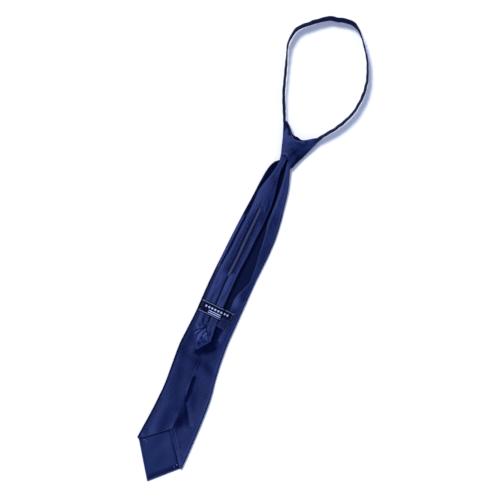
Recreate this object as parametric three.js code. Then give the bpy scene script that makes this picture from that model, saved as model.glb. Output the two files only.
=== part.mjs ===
import * as THREE from 'three';

// Zipper tie lying face down, with its back up, in millimetres.
// +Y runs from the pointed end towards the neck loop and +Z is up.
// In the tables y is counted from the point of the main blade and x from the same point.

// Cloth walls and clearances
const BLADE_WALL = 1.2;
const TAIL_WALL = 1.0;
const KNOT_WALL = 1.5;
const TIPPING_WALL = 0.8;
const LABEL_WALL = 1.0;
const GAP = 0.3;

// Neck band, a flat strap that stands on its edge
const BAND_WIDTH = 10;
const BAND_THICKNESS = 2;
const BAND_STEPS = 88;

// Tail and its zip
const TAIL_THICKNESS = 3.4;
const SLIT_CLOSED = 0.35;
const SLIT_OPEN = 2.4;
const ZIP = { bottom: 324, top: 432, ramp: 12, tapeHalf: 5, tapeWall: 0.7, chainHalf: 1.5, rise: 2.2 };

// Keeper label across the tail
const LABEL = { x: 3, y: 273.5, length: 52, width: 19, turn: -4, ramp: 4.2 };

// Where the right flap tucks under the left one, it lies this much lower
const TUCK = { drop: 1.6, full: 225, none: 262 };

// Pointed ends: the point, the two corners, and the top of the diamond that the lining fills
const BLADE_END = {
  tip: { x: 0, y: 0 },
  left: { x: -37.8, y: 55 },
  right: { x: 39.5, y: 35 },
  top: { x: 5.6, y: 87 },
  straightFrom: 110,
};
const TAIL_END = {
  tip: { x: -3.5, y: 211 },
  left: { x: -20.3, y: 236 },
  right: { x: 11.9, y: 228 },
  top: { x: -2.5, y: 247 },
  straightFrom: 258,
};

// Main blade: its two sides, the free edges of the two back flaps, its height off the surface
// and its thickness
const BLADE_ROWS = [
  { y: 35, left: -39.8, right: 39.5, leftFlap: 5.6, rightFlap: 0.4, lift: 0, deep: 5.5 },
  { y: 55, left: -37.8, right: 40.8, leftFlap: 5.6, rightFlap: 0.4, lift: 0, deep: 5.5 },
  { y: 90, left: -34, right: 41.9, leftFlap: 5.7, rightFlap: 0.4, lift: 0, deep: 5.5 },
  { y: 120, left: -30.8, right: 42.7, leftFlap: 6.5, rightFlap: 1.4, lift: 0, deep: 5.5 },
  { y: 150, left: -28.9, right: 42.8, leftFlap: 6.6, rightFlap: 1.4, lift: 0, deep: 5.5 },
  { y: 178, left: -29.3, right: 38.4, leftFlap: 5.6, rightFlap: 0.4, lift: 0, deep: 5.5 },
  { y: 206, left: -29.6, right: 37, leftFlap: 8, rightFlap: 3, lift: 0, deep: 5.5 },
  { y: 232, left: -28, right: 36.6, leftFlap: 10, rightFlap: 9, lift: 0, deep: 5.5 },
  { y: 262, left: -25.9, right: 38, leftFlap: 4, rightFlap: 19, lift: 0, deep: 5.5 },
  { y: 300, left: -24.4, right: 39.8, leftFlap: -2, rightFlap: 22, lift: 0, deep: 5.5 },
  { y: 337, left: -22, right: 41.6, leftFlap: -4, rightFlap: 28.5, lift: 0, deep: 5.5 },
  { y: 363, left: -17.9, right: 44, leftFlap: -2, rightFlap: 29.4, lift: 0, deep: 5.5 },
  { y: 398, left: -14.7, right: 46.2, leftFlap: 1, rightFlap: 26.8, lift: 0, deep: 5.6 },
  { y: 430, left: -12, right: 44.4, leftFlap: 3, rightFlap: 24.7, lift: 0, deep: 6 },
  { y: 455, left: -9.6, right: 41.2, leftFlap: 4, rightFlap: 24.3, lift: 0.1, deep: 6.8 },
  { y: 482, left: -7, right: 37, leftFlap: 6, rightFlap: 23.8, lift: 1, deep: 7.4 },
  { y: 503, left: -3.4, right: 31, leftFlap: 9, rightFlap: 21.6, lift: 3, deep: 7.4 },
  { y: 514, left: 1.4, right: 27.8, leftFlap: 12, rightFlap: 19.8, lift: 4.4, deep: 7 },
  { y: 524, left: 11.2, right: 26.2, leftFlap: 15.4, rightFlap: 19, lift: 5.3, deep: 6.2 },
  { y: 540, left: 12, right: 26, leftFlap: 16, rightFlap: 19.6, lift: 5.6, deep: 5.6 },
];

// Tail: its two sides and the line of its slit
const TAIL_ROWS = [
  { y: 228, left: -20.6, right: 11.9, slit: -3 },
  { y: 236, left: -20.3, right: 11.5, slit: -3 },
  { y: 262, left: -19, right: 10.2, slit: -3 },
  { y: 300, left: -18, right: 11.1, slit: -1 },
  { y: 340, left: -16.9, right: 13.2, slit: 0.5 },
  { y: 370, left: -14.6, right: 16.2, slit: 1.8 },
  { y: 405, left: -11.4, right: 18, slit: 4 },
  { y: 431, left: -8.4, right: 19.4, slit: 6.2 },
  { y: 446, left: -2.2, right: 21, slit: 9.6 },
  { y: 462, left: 4, right: 22.8, slit: 13.4 },
  { y: 480, left: 6.6, right: 22.2, slit: 14.6 },
  { y: 504, left: 8.8, right: 19.6, slit: 14.4 },
  { y: 521, left: 12, right: 20, slit: 16 },
  { y: 538, left: 13, right: 20.6, slit: 16.8 },
];

// Knot wrap: its two sides, its front underneath and its back on top
const KNOT_ROWS = [
  { y: 514, left: 8.4, right: 28.8, front: 3.6, back: 18 },
  { y: 526, left: 7.4, right: 32.4, front: 1.8, back: 19.6 },
  { y: 538, left: 4.6, right: 36.8, front: 0.4, back: 21 },
  { y: 550, left: 1.2, right: 43.6, front: 0, back: 21.6 },
  { y: 562, left: -2.4, right: 49.2, front: 0.5, back: 20.4 },
  { y: 572, left: -5.6, right: 54, front: 1.4, back: 18.4 },
  { y: 582, left: -9, right: 57, front: 2.4, back: 16.6 },
];

// Knot's upper rim and lower edge, from its left side at -1 to its right side at 1
const KNOT_EDGES = [
  { y: -1, rim: 578, hem: 525 },
  { y: -0.7, rim: 569.5, hem: 525.5 },
  { y: -0.35, rim: 561.5, hem: 525.5 },
  { y: 0, rim: 558.6, hem: 524.6 },
  { y: 0.35, rim: 560, hem: 521.5 },
  { y: 0.7, rim: 566, hem: 518 },
  { y: 1, rim: 572.5, hem: 516 },
];
const KNOT_SQUARENESS = 4;
const KNOT_COLUMNS = 32;
const FRONT_RIM_RISE = 3;

// Neck band's route from one knot arm to the other: lean is how far its upper edge tips outward
const BAND_ROWS = [
  { x: 4.6, y: 563, lean: 24, base: 6, width: 8 },
  { x: -1, y: 575, lean: 20, base: 5.4, width: 8 },
  { x: -10, y: 592, lean: 20, base: 3, width: 9 },
  { x: -25, y: 616.7, lean: 12, base: 0.4, width: BAND_WIDTH },
  { x: -37.8, y: 658, lean: 0, base: 0.3, width: BAND_WIDTH },
  { x: -45.8, y: 688, lean: 4, base: 0.3, width: BAND_WIDTH },
  { x: -39.5, y: 717, lean: 10, base: 0.3, width: BAND_WIDTH },
  { x: -20, y: 735, lean: 14, base: 0.3, width: BAND_WIDTH },
  { x: 2, y: 748.6, lean: 14, base: 0.3, width: BAND_WIDTH },
  { x: 13, y: 748, lean: 14, base: 0.3, width: BAND_WIDTH },
  { x: 21.5, y: 751.4, lean: 12, base: 0.3, width: BAND_WIDTH },
  { x: 38.7, y: 752, lean: 8, base: 0.3, width: BAND_WIDTH },
  { x: 61.5, y: 728.7, lean: 4, base: 0.3, width: BAND_WIDTH },
  { x: 79.7, y: 698.7, lean: 2, base: 0.3, width: BAND_WIDTH },
  { x: 88.6, y: 668, lean: 2, base: 0.3, width: BAND_WIDTH },
  { x: 85.2, y: 630.6, lean: 0, base: 0.3, width: BAND_WIDTH },
  { x: 69.9, y: 598.7, lean: 12, base: 0.6, width: BAND_WIDTH },
  { x: 54, y: 580, lean: 22, base: 3.6, width: 9 },
  { x: 44.6, y: 568, lean: 24, base: 5.6, width: 8 },
  { x: 37.6, y: 560, lean: 24, base: 6, width: 8 },
];

// Finishes
const NAVY = { color: 0x1b2a5c, roughness: 0.55, metalness: 0 };
const NAVY_LINING = { color: 0x22336b, roughness: 0.45, metalness: 0 };
const NAVY_DARK = { color: 0x10152e, roughness: 0.6, metalness: 0 };
const ZIP_NAVY = { color: 0x3a4a80, roughness: 0.4, metalness: 0.1 };

const { lerp, clamp, smoothstep, degToRad } = THREE.MathUtils;

// A smooth curve through one column of a table, with no overshoot between its rows
function column(rows, key) {
  const secant = (i) => (rows[i + 1][key] - rows[i][key]) / (rows[i + 1].y - rows[i].y);
  const slope = (i) => {
    const before = secant(Math.max(i - 1, 0));
    const after = secant(Math.min(i, rows.length - 2));
    return before * after > 0 ? (2 * before * after) / (before + after) : 0;
  };
  return (y) => {
    let i = 0;
    while (i < rows.length - 2 && y > rows[i + 1].y) {
      i += 1;
    }
    const from = rows[i];
    const to = rows[i + 1];
    const span = to.y - from.y;
    const t = clamp((y - from.y) / span, 0, 1);
    const fromPart = (1 + 2 * t) * (1 - t) ** 2 * from[key] + t * (1 - t) ** 2 * span * slope(i);
    const toPart = t * t * (3 - 2 * t) * to[key] - t * t * (1 - t) * span * slope(i + 1);
    return fromPart + toPart;
  };
}

function columns(rows) {
  const keys = Object.keys(rows[0]).filter((key) => key !== 'y');
  return Object.fromEntries(keys.map((key) => [key, column(rows, key)]));
}

// Outward normal at a grid point, with how sharply the faces around it turn away from it
function gridNormal(pick, i, j) {
  const point = pick(i, j);
  const faces = [];
  for (const down of [-1, 1]) {
    for (const aside of [-1, 1]) {
      const along = pick(i + down, j);
      const across = pick(i, j + aside);
      if (along && across) {
        const face = across.clone().sub(point).multiplyScalar(aside);
        face.cross(along.clone().sub(point).multiplyScalar(down)).normalize();
        faces.push(face);
      }
    }
  }
  const normal = faces.reduce((sum, face) => sum.add(face), new THREE.Vector3()).normalize();
  const mean = faces.reduce((sum, face) => sum + face.dot(normal), 0) / faces.length;
  return { normal, cosine: Math.max(mean, 0.6) };
}

// A closed wall of even thickness around a grid of points; a round grid joins its first column to its last
function clothWall(grid, thickness, round = false) {
  const rowCount = grid.length;
  const columnCount = grid[0].length;
  const pick = (i, j) => {
    if (round) {
      return grid[i]?.[(j + columnCount) % columnCount];
    }
    return grid[i]?.[j];
  };
  const positions = [];
  for (const side of [1, -1]) {
    for (let i = 0; i < rowCount; i += 1) {
      for (let j = 0; j < columnCount; j += 1) {
        const point = grid[i][j];
        const { normal, cosine } = gridNormal(pick, i, j);
        const reach = (side * thickness) / 2 / cosine;
        positions.push(...point.clone().addScaledVector(normal, reach).toArray());
      }
    }
  }
  const layer = rowCount * columnCount;
  const index = (i, j, under) => (under ? layer : 0) + i * columnCount + (j % columnCount);
  const triangles = [];
  const quad = (a, b, c, d) => triangles.push(a, b, c, a, c, d);
  const lastColumn = round ? columnCount : columnCount - 1;
  for (let j = 0; j < lastColumn; j += 1) {
    for (let i = 0; i < rowCount - 1; i += 1) {
      quad(index(i, j), index(i, j + 1), index(i + 1, j + 1), index(i + 1, j));
      quad(index(i, j, true), index(i + 1, j, true), index(i + 1, j + 1, true), index(i, j + 1, true));
    }
    quad(index(0, j), index(0, j, true), index(0, j + 1, true), index(0, j + 1));
    const end = rowCount - 1;
    quad(index(end, j), index(end, j + 1), index(end, j + 1, true), index(end, j, true));
  }
  if (!round) {
    const last = columnCount - 1;
    for (let i = 0; i < rowCount - 1; i += 1) {
      quad(index(i, 0), index(i + 1, 0), index(i + 1, 0, true), index(i, 0, true));
      quad(index(i, last), index(i, last, true), index(i + 1, last, true), index(i + 1, last));
    }
  }
  const geometry = new THREE.BufferGeometry();
  geometry.setAttribute('position', new THREE.Float32BufferAttribute(positions, 3));
  geometry.setIndex(triangles);
  geometry.computeVertexNormals();
  return geometry;
}

function steps(from, to, count) {
  return Array.from({ length: count + 1 }, (_, i) => lerp(from, to, i / count));
}

// Cloth folded to the back on both sides, with a pointed end.
// Columns run from the free edge of the left flap round the front to the free edge of the right flap.
function foldedCloth({ at, end, wall, top, stations, flapParts, foldParts, frontParts }) {
  const left = (y) => at.left(Math.max(y, end.left.y));
  const right = (y) => at.right(Math.max(y, end.right.y));
  const tipShare = (end.tip.x - end.left.x) / (end.right.x - end.left.x);
  const radius = (y) => (at.deep(y) - wall) / 2;
  const middle = (y) => at.lift(y) + at.deep(y) / 2;

  const flap = (side, share) => ({
    from: lerp(end.top.y, end[side].y, share),
    place: (y) => {
      const fold = side === 'left' ? left(y) + wall / 2 + radius(y) : right(y) - wall / 2 - radius(y);
      const drop = side === 'right' ? at.tuck(y) * smoothstep(1 - share, 0.45, 0.8) : 0;
      return [lerp(at[`${side}Flap`](y), fold, share), middle(y) + radius(y) - drop];
    },
  });
  const fold = (side, share) => ({
    from: end[side].y,
    place: (y) => {
      const turn = Math.PI * (side === 'left' ? share : 1 - share);
      const sign = side === 'left' ? -1 : 1;
      const rim = side === 'left' ? left(y) + wall / 2 : right(y) - wall / 2;
      const centre = rim - sign * radius(y);
      return [centre + sign * radius(y) * Math.sin(turn), middle(y) + radius(y) * Math.cos(turn)];
    },
  });
  const front = (share) => ({
    from: share < tipShare
      ? lerp(end.left.y, end.tip.y, share / tipShare)
      : lerp(end.tip.y, end.right.y, (share - tipShare) / (1 - tipShare)),
    place: (y) => {
      const inset = wall / 2 + radius(y);
      return [lerp(left(y) + inset, right(y) - inset, share), middle(y) - radius(y)];
    },
  });

  const inner = (list) => list.slice(1, -1);
  const line = [
    ...steps(0, 1, flapParts).map((share) => flap('left', share)),
    ...inner(steps(0, 1, foldParts)).map((share) => fold('left', share)),
    ...steps(0, tipShare, frontParts).map((share) => front(share)),
    ...steps(tipShare, 1, frontParts).slice(1).map((share) => front(share)),
    ...inner(steps(0, 1, foldParts)).map((share) => fold('right', share)),
    ...steps(1, 0, flapParts).map((share) => flap('right', share)),
  ];
  const endRows = steps(0, 1, stations.end).slice(0, -1);
  const rows = endRows.map((share) => line.map(({ from, place }) => {
    const y = lerp(from, end.straightFrom, share);
    const [x, z] = place(y);
    return new THREE.Vector3(x, y, z);
  }));
  for (const y of steps(end.straightFrom, top, stations.body)) {
    rows.push(line.map(({ place }) => {
      const [x, z] = place(y);
      return new THREE.Vector3(x, y, z);
    }));
  }
  return clothWall(rows.reverse(), wall);
}

function mesh(name, geometry, finish) {
  const piece = new THREE.Mesh(geometry, new THREE.MeshStandardMaterial(finish));
  piece.name = name;
  return piece;
}

// Flat lining that fills the diamond between the flaps and the point
function tippingPanel(at, end, base, inset) {
  const left = at.left(end.left.y) + inset.side;
  const right = at.right(end.right.y) - inset.side;
  const upper = end.top.y + inset.above;
  const shape = new THREE.Shape();
  shape.moveTo(end.tip.x, end.tip.y + inset.point);
  shape.lineTo(right, end.right.y + inset.corner);
  shape.lineTo(at.right(upper) - inset.side, upper);
  shape.lineTo(at.left(upper) + inset.side, upper);
  shape.lineTo(left, end.left.y + inset.corner);
  shape.closePath();
  const geometry = new THREE.ExtrudeGeometry(shape, { depth: TIPPING_WALL, bevelEnabled: false });
  return geometry.translate(0, 0, base);
}

// Main blade
const bladeAt = columns(BLADE_ROWS);
bladeAt.tuck = (y) => TUCK.drop * (1 - smoothstep(y, TUCK.full, TUCK.none));
const bladeTop = (y) => bladeAt.lift(y) + bladeAt.deep(y);
const blade = foldedCloth({
  at: bladeAt,
  end: BLADE_END,
  wall: BLADE_WALL,
  top: BLADE_ROWS.at(-1).y,
  stations: { end: 5, body: 34 },
  flapParts: 4,
  foldParts: 4,
  frontParts: 3,
});
const bladeTipping = tippingPanel(bladeAt, BLADE_END, BLADE_WALL + GAP, {
  side: 3.2,
  corner: 1.6,
  point: 3.4,
  above: 12,
});

// Tail, laid along the back of the blade
const tailSides = columns(TAIL_ROWS);
const slitHalf = (y) => {
  const opening = smoothstep(y, ZIP.bottom - ZIP.ramp, ZIP.bottom);
  const closing = 1 - smoothstep(y, ZIP.top, ZIP.top + ZIP.ramp);
  return lerp(SLIT_CLOSED, SLIT_OPEN, opening * closing);
};
const tailAt = {
  left: tailSides.left,
  right: tailSides.right,
  leftFlap: (y) => tailSides.slit(y) - slitHalf(y),
  rightFlap: (y) => tailSides.slit(y) + slitHalf(y),
  lift: (y) => bladeTop(y) + GAP,
  deep: () => TAIL_THICKNESS,
  tuck: () => 0,
};
const tail = foldedCloth({
  at: tailAt,
  end: TAIL_END,
  wall: TAIL_WALL,
  top: TAIL_ROWS.at(-1).y,
  stations: { end: 3, body: 28 },
  flapParts: 2,
  foldParts: 3,
  frontParts: 2,
});
const tailTipping = tippingPanel(tailAt, TAIL_END, tailAt.lift(TAIL_END.top.y) + TAIL_WALL + GAP, {
  side: 2.4,
  corner: 1.2,
  point: 2.6,
  above: 8,
});

// Zip: a flat tape under the slit with a raised chain along its middle
function zipGeometry() {
  const rows = steps(ZIP.bottom, ZIP.top, 10).map((y) => {
    const x = tailSides.slit(y);
    const low = tailAt.lift(y) + TAIL_WALL + GAP;
    const deck = low + ZIP.tapeWall;
    const crest = low + ZIP.rise;
    return [
      [-ZIP.tapeHalf, low], [ZIP.tapeHalf, low], [ZIP.tapeHalf, deck], [ZIP.chainHalf, deck],
      [ZIP.chainHalf, crest], [-ZIP.chainHalf, crest], [-ZIP.chainHalf, deck], [-ZIP.tapeHalf, deck],
    ].map(([across, z]) => new THREE.Vector3(x + across, y, z));
  });
  return loft(rows);
}

// A closed body lofted through equal rings of points, with flat ends
function loft(rows) {
  const ring = rows[0].length;
  const outline = rows[0].map((point) => new THREE.Vector2(point.x, point.z));
  const caps = THREE.ShapeUtils.triangulateShape(outline, []);
  const triangles = [];
  for (let i = 0; i < rows.length - 1; i += 1) {
    for (let j = 0; j < ring; j += 1) {
      const here = i * ring + j;
      const beside = i * ring + ((j + 1) % ring);
      triangles.push(here, here + ring, beside, beside, here + ring, beside + ring);
    }
  }
  const last = (rows.length - 1) * ring;
  for (const [a, b, c] of caps) {
    triangles.push(a, b, c, last + a, last + c, last + b);
  }
  const geometry = new THREE.BufferGeometry();
  const positions = rows.flat().flatMap((point) => point.toArray());
  geometry.setAttribute('position', new THREE.Float32BufferAttribute(positions, 3));
  geometry.setIndex(triangles);
  geometry.computeVertexNormals();
  return geometry;
}

// Keeper label, bowed over the tail and flat on the blade at both ends
function labelGeometry() {
  const turn = degToRad(LABEL.turn);
  const grid = steps(-LABEL.width / 2, LABEL.width / 2, 3).map((across) => (
    steps(-LABEL.length / 2, LABEL.length / 2, 26).map((along) => {
      const x = LABEL.x + along * Math.cos(turn) - across * Math.sin(turn);
      const y = LABEL.y + along * Math.sin(turn) + across * Math.cos(turn);
      const outside = Math.max(tailAt.left(y) - x, x - tailAt.right(y));
      const low = bladeTop(y) + GAP + LABEL_WALL / 2;
      const high = low + GAP + TAIL_THICKNESS + GAP / 2;
      return new THREE.Vector3(x, y, lerp(high, low, smoothstep(outside, 0, LABEL.ramp)));
    })
  ));
  return clothWall(grid, LABEL_WALL);
}

// Knot: a hollow wrap, open below for the blade and the tail and above for the band
function knotGeometry() {
  const at = columns(KNOT_ROWS);
  const edge = columns(KNOT_EDGES);
  const power = (value) => Math.sign(value) * Math.abs(value) ** (2 / KNOT_SQUARENESS);
  const levels = steps(0, 1, 11);
  const rows = levels.map((level) => (
    Array.from({ length: KNOT_COLUMNS }, (_, j) => {
      const angle = (j / KNOT_COLUMNS) * Math.PI * 2;
      const across = power(Math.cos(angle));
      const height = power(Math.sin(angle));
      const rise = height < 0 ? FRONT_RIM_RISE * (1 - across * across) : 0;
      const y = lerp(edge.hem(across), edge.rim(across) + rise, level);
      const halfWidth = (at.right(y) - at.left(y) - KNOT_WALL) / 2;
      const halfDepth = (at.back(y) - at.front(y) - KNOT_WALL) / 2;
      const x = (at.left(y) + at.right(y)) / 2 + halfWidth * across;
      const z = (at.back(y) + at.front(y)) / 2 + halfDepth * height;
      return new THREE.Vector3(x, y, z);
    })
  ));
  return clothWall(rows, KNOT_WALL, true);
}

// Neck band: a strap on edge along a smooth route round the neck
function bandGeometry() {
  const route = new THREE.CatmullRomCurve3(
    BAND_ROWS.map(({ x, y }) => new THREE.Vector3(x, y, 0)), false, 'centripetal');
  const detail = ['lean', 'base', 'width'];
  const along = Object.fromEntries(detail.map((key) => [
    key, column(BAND_ROWS.map((row, i) => ({ y: i, [key]: row[key] })), key)]));
  const grid = steps(0, 1, BAND_STEPS).map((share) => {
    const step = route.getUtoTmapping(share) * (BAND_ROWS.length - 1);
    const point = route.getPointAt(share);
    const ahead = route.getTangentAt(share);
    const outward = new THREE.Vector3(-ahead.y, ahead.x, 0);
    const lean = degToRad(along.lean(step));
    const rise = new THREE.Vector3(0, 0, Math.cos(lean)).addScaledVector(outward, Math.sin(lean));
    const half = along.width(step) / 2;
    const tilted = half * Math.cos(lean) + (BAND_THICKNESS / 2) * Math.abs(Math.sin(lean));
    point.z = along.base(step) + tilted;
    return [-1, 0, 1].map((side) => point.clone().addScaledVector(rise, side * half));
  });
  return clothWall(grid, BAND_THICKNESS);
}

const tie = new THREE.Group();
tie.add(
  mesh('main_blade', blade, NAVY),
  mesh('blade_tipping', bladeTipping, NAVY_LINING),
  mesh('tail', tail, NAVY),
  mesh('tail_tipping', tailTipping, NAVY_LINING),
  mesh('zip_chain', zipGeometry(), ZIP_NAVY),
  mesh('keeper_label', labelGeometry(), NAVY_DARK),
  mesh('knot', knotGeometry(), NAVY),
  mesh('neck_band', bandGeometry(), NAVY),
);

// The frame's origin is the centre of the tie's box, on the surface it lies on
const box = new THREE.Box3().setFromObject(tie);
const centre = box.getCenter(new THREE.Vector3());
tie.position.set(-centre.x, -centre.y, -box.min.z);
tie.updateMatrixWorld(true);

export default tie;
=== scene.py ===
import math

import bmesh
import bpy
import numpy as np
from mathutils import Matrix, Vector


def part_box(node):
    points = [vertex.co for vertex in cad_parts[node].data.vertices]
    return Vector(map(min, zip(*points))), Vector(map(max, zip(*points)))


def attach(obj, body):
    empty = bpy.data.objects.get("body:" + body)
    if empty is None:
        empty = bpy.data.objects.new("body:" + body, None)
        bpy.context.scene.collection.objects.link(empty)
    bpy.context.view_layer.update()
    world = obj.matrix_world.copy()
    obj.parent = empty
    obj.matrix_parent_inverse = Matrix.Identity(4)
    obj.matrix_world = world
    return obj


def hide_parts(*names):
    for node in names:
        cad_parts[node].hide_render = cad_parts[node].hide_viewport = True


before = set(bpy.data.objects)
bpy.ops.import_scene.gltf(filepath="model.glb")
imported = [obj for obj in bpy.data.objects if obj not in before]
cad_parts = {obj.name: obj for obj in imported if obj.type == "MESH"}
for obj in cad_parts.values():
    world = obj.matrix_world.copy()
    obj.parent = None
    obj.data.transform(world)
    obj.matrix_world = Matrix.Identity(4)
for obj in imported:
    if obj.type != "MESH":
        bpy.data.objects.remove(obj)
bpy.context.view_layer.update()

# Every table below is in millimetres, counted from the point of the main blade.
mm = 0.001
liningCorner = 34.6  # the lining's left corner lies this far left of the point
tieZero = np.array([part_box("blade_tipping")[0].x + liningCorner * mm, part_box("main_blade")[0].y, 0.0])

studio = {
    "middle": (-0.0053, 0.0008), "height": 4.0, "field": 0.75, "roll": 21.44,  # the photograph's view from above
    "keyFrom": (-1.12, 0.74, 2.10), "keySpread": 16.0, "keyStrength": 2.8, "key": (1.0, 0.97, 0.88),
    "zenith": (0.60, 0.70, 1.02), "horizon": (0.18, 0.22, 0.36), "sky": 0.95,
    "floor": (0.88, 0.88, 0.88), "floorSize": 8.0,
}


def setCamera():
    lens = bpy.data.cameras.new("photo_lens")
    lens.sensor_width = 36
    lens.lens = lens.sensor_width * studio["height"] / studio["field"]
    camera = bpy.data.objects.new("photo_camera", lens)
    camera.location = (*studio["middle"], studio["height"])
    camera.rotation_euler = (0, 0, math.radians(studio["roll"]))
    bpy.context.scene.collection.objects.link(camera)
    bpy.context.scene.camera = camera


setCamera()
print("camera set")


# Shader maths: a socket that adds Math nodes when it stands in an expression
class Wire:
    def __init__(self, paint, socket):
        self.paint, self.socket = paint, socket

    def math(self, operation, *values):
        return self.paint.node("ShaderNodeMath", {"operation": operation}, dict(enumerate(values)))

    def __add__(self, other):
        return self.math("ADD", self, other)

    def __radd__(self, other):
        return self.math("ADD", other, self)

    def __sub__(self, other):
        return self.math("SUBTRACT", self, other)

    def __rsub__(self, other):
        return self.math("SUBTRACT", other, self)

    def __mul__(self, other):
        return self.math("MULTIPLY", self, other)

    def __rmul__(self, other):
        return self.math("MULTIPLY", other, self)

    def __truediv__(self, other):
        return self.math("DIVIDE", self, other)

    def __pow__(self, other):
        return self.math("POWER", self, other)

    def __abs__(self):
        return self.math("ABSOLUTE", self)

    def __lt__(self, other):
        return self.math("LESS_THAN", self, other)

    def wave(self, pitch):  # a sine from 0 to 1, once every pitch
        return self.math("SINE", self * (2 * math.pi / pitch)) * 0.5 + 0.5

    def fraction(self):
        return self.math("FRACT", self)

    def clamped(self):  # kept from 0 to 1
        return self.math("MINIMUM", self.math("MAXIMUM", self, 0.0), 1.0)


# The nodes of one material or world, all made by node()
class Paint:
    def __init__(self, owner):
        self.owner = owner
        owner.use_nodes = True
        self.tree = owner.node_tree
        self.tree.nodes.clear()

    def node(self, kind, settings, sockets, out=0):
        made = self.tree.nodes.new(kind)
        for key, value in settings.items():
            setattr(made, key, value)
        for key, value in sockets.items():
            if isinstance(value, Wire):
                self.tree.links.new(value.socket, made.inputs[key])
            else:
                made.inputs[key].default_value = value
        return Wire(self, made.outputs[out]) if made.outputs else None

    def measure(self, name, out):
        return self.node("ShaderNodeAttribute", {"attribute_name": name}, {}, out)

    def flat(self):  # the cloth's own flat measure in mm: across, along, and 1 on its inside
        parts = {0: self.measure("cloth", 1)}
        return [self.node("ShaderNodeSeparateXYZ", {}, parts, axis) for axis in range(3)]

    # the hollow measure drives the painted shade and the extra roughness in hollows and under drawn shade lines
    def hollow(self):  # 1 deep in a hollow
        return (0 - self.measure("crest", 2)).clamped()

    def mix(self, share, first, second):
        sockets = {0: share, 6: first, 7: second}
        return self.node("ShaderNodeMix", {"data_type": "RGBA", "clamp_factor": True}, sockets, 2)

    def tint(self, colour, share, other):  # multiplies a colour by another, as far as share says
        settings = {"data_type": "RGBA", "blend_type": "MULTIPLY", "clamp_factor": True}
        return self.node("ShaderNodeMix", settings, {0: share, 6: colour, 7: other}, 2)

    def noise(self, across, along, size, stretch=1.0, detail=2.0):
        place = self.node("ShaderNodeCombineXYZ", {}, {0: across / size, 1: along / (size * stretch)})
        return self.node("ShaderNodeTexNoise", {}, {"Vector": place, "Scale": 1.0, "Detail": detail})

    def bump(self, height, strength, distance):
        return self.node("ShaderNodeBump", {}, {"Height": height, "Strength": strength, "Distance": distance})

    def finish(self, varying, fixed):
        shader = self.node("ShaderNodeBsdfPrincipled", {}, {**fixed, **varying})
        self.node("ShaderNodeOutputMaterial", {}, {"Surface": shader})
        return self.owner


def newPaint(name):
    return Paint(bpy.data.materials.new(name))


def colour(red, green, blue, strength=1.0):
    return (red * strength, green * strength, blue * strength, 1.0)


# lit is the colour of painted highlights, shade tints the painted shade, inside is the painted shade of the cloth's
# inner side; crest and hollow are their shares
satin = {
    "base": (0.0058, 0.0122, 0.066), "lit": colour(0.036, 0.054, 0.175), "shade": colour(0.03, 0.10, 0.32),
    "inside": colour(0.0012, 0.0036, 0.0280), "crest": 0.48, "hollow": 0.95,
    "twill": 1.15, "rib": 4.4, "slub": 2.6,
    "fixed": {"Specular IOR Level": 0.12, "Specular Tint": colour(0.55, 0.68, 1.0), "Sheen Weight": 0.03,
              "Sheen Roughness": 0.35, "Sheen Tint": colour(0.40, 0.50, 1.0)},
}


# Painted highlights on crests, painted shade in hollows, and the darkest painted shade on the cloth's inside
def paintedLightAndShade(paint, base, side, share=1.0):
    crest = paint.measure("crest", 2)
    base = paint.mix(crest.clamped() * (satin["crest"] * share), base, satin["lit"])
    base = paint.tint(base, paint.hollow() * satin["hollow"], satin["shade"])
    return paint.mix(side, base, satin["inside"])


# Navy satin: a fine diagonal twill, broader ribs across it and soft streaks, with painted highlights on crests and
# painted shade in hollows and on its inside
def tieSatin(name, lighter=1.0, ribbed=0.30):
    paint = newPaint(name)
    across, along, side = paint.flat()
    twill = (across + along).wave(satin["twill"])
    rib = (along - across * 0.8 + paint.noise(across, along, 9.0) * 5.0).wave(satin["rib"])
    thread = paint.noise(across, along, 0.35, 3.0)
    slub = paint.noise(across + along, across - along, satin["slub"], 6.0, 3.0)
    grain = paint.noise(along + across * 0.5, across - along * 0.5, 1.5, 2.4)
    cloud = paint.noise(across, along, 20.0, 2.0, 4.0)
    shine = (cloud * 1.2 + slub * 0.8 + grain * 3.0 - 2.0).clamped()
    base = paint.mix(shine, colour(*satin["base"], 0.52 * lighter), colour(*satin["base"], 1.62 * lighter))
    base = paint.tint(base, twill * 0.25 + rib * ribbed, colour(0.45, 0.48, 0.60))
    base = paintedLightAndShade(paint, base, side)
    rough = 0.47 + slub * 0.10 - twill * 0.04 + thread * 0.05 + paint.hollow() * 0.5 + side * 0.3
    height = twill * 0.5 + rib * ribbed * 1.5 + thread * 0.45 + slub * 1.1
    return paint.finish({"Base Color": base, "Roughness": rough, "Normal": paint.bump(height, 0.4, 0.0002)},
                        satin["fixed"])


tipping = {"dark": (0.0052, 0.0125, 0.063), "light": (0.0076, 0.0168, 0.082), "weave": 0.5, "cloud": 16.0}


# Smooth lining, close to the tie's own colour, with a finer plain weave, painted highlights on its crests as strong as
# sheen says, and painted shade in hollows and on its inside
def liningCloth(name, lighter=1.0, sheen=1.0):
    paint = newPaint(name)
    across, along, side = paint.flat()
    cloud = paint.noise(across, along, tipping["cloud"], 1.6, 4.0)
    weave = across.wave(tipping["weave"]) * along.wave(tipping["weave"])
    base = paint.mix(cloud, colour(*tipping["dark"], lighter), colour(*tipping["light"], lighter))
    base = paintedLightAndShade(paint, base, side * 0.8, sheen)
    return paint.finish({"Base Color": base, "Roughness": 0.42 + cloud * 0.1 + paint.hollow() * 0.5,
                         "Normal": paint.bump(weave + cloud * 3.0, 0.3, 0.00012)}, satin["fixed"])


strapWeave = {"dark": colour(0.0002, 0.0008, 0.018), "light": colour(0.0009, 0.0026, 0.036), "rib": 0.9, "streak": 1.6}
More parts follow.
